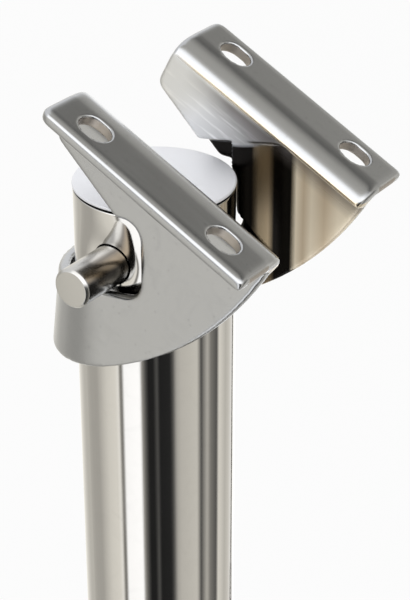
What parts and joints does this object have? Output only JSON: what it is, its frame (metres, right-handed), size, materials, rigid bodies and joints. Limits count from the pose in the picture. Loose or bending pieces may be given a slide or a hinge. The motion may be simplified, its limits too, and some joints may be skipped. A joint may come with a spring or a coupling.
{
  "type": "telescopic boarding ladder",
  "caption": "Telescopic boarding ladder that swings on pins in slotted cast saddles bolted under a platform, with sliding stile tubes and ribbed treads.",
  "frame": {"origin": "centre of all eight bolt slots, on the bolting plane of the saddles' flanges, midway between the stiles", "axes": "+Z is the normal of the bolting faces, up into the platform; +X runs along the flanges towards the side that the ladder swings out to; Y runs along the pivot pins"},
  "size_m": [0.4184, 0.3278, 0.7646],
  "materials": {
    "cast_stainless": "polished investment casting, satin on the inner walls",
    "polished_tube": "mirror-polished stainless tube",
    "turned_pin": "fine turned, satin end faces",
    "cap_steel": "smooth satin",
    "tread_steel": "satin folded sheet",
    "guide_nylon": "matte black nylon",
    "ring_nylon": "natural nylon",
    "tread_rubber": "ribbed black rubber",
    "foot_rubber": "moulded black rubber"
  },
  "bodies": {
    "mounting": {"saddle_left": "cast_stainless", "saddle_right": "cast_stainless"},
    "upper": {"pivot_pin_left": "turned_pin", "pivot_pin_right": "turned_pin", "head_cap_left": "cap_steel", "head_cap_right": "cap_steel", "upper_tube_left": "polished_tube", "upper_tube_right": "polished_tube", "upper_guide_bush_left": "guide_nylon", "upper_guide_bush_right": "guide_nylon", "upper_tread": "tread_steel", "upper_tread_pad": "tread_rubber"},
    "middle": {"middle_slide_ring_left": "ring_nylon", "middle_slide_ring_right": "ring_nylon", "middle_tube_left": "polished_tube", "middle_tube_right": "polished_tube", "middle_guide_bush_left": "guide_nylon", "middle_guide_bush_right": "guide_nylon", "middle_tread": "tread_steel", "middle_tread_pad": "tread_rubber"},
    "lower": {"lower_slide_ring_left": "ring_nylon", "lower_slide_ring_right": "ring_nylon", "lower_tube_left": "polished_tube", "lower_tube_right": "polished_tube", "foot_left": "foot_rubber", "foot_right": "foot_rubber", "lower_tread": "tread_steel", "lower_tread_pad": "tread_rubber"}
  },
  "joints": [
    {"name": "ladder_swing", "type": "hinge", "parent": "mounting", "child": "upper", "pos_m": [-0.0041, 0, -0.03], "axis": [0, -1, 0], "range_deg": [0, 42]},
    {"name": "middle_slide", "type": "slide", "parent": "upper", "child": "middle", "axis": [-0.4695, 0, 0.8829], "range_m": [0, 0.225]},
    {"name": "lower_slide", "type": "slide", "parent": "middle", "child": "lower", "axis": [-0.4695, 0, 0.8829], "range_m": [0, 0.205]}
  ]
}
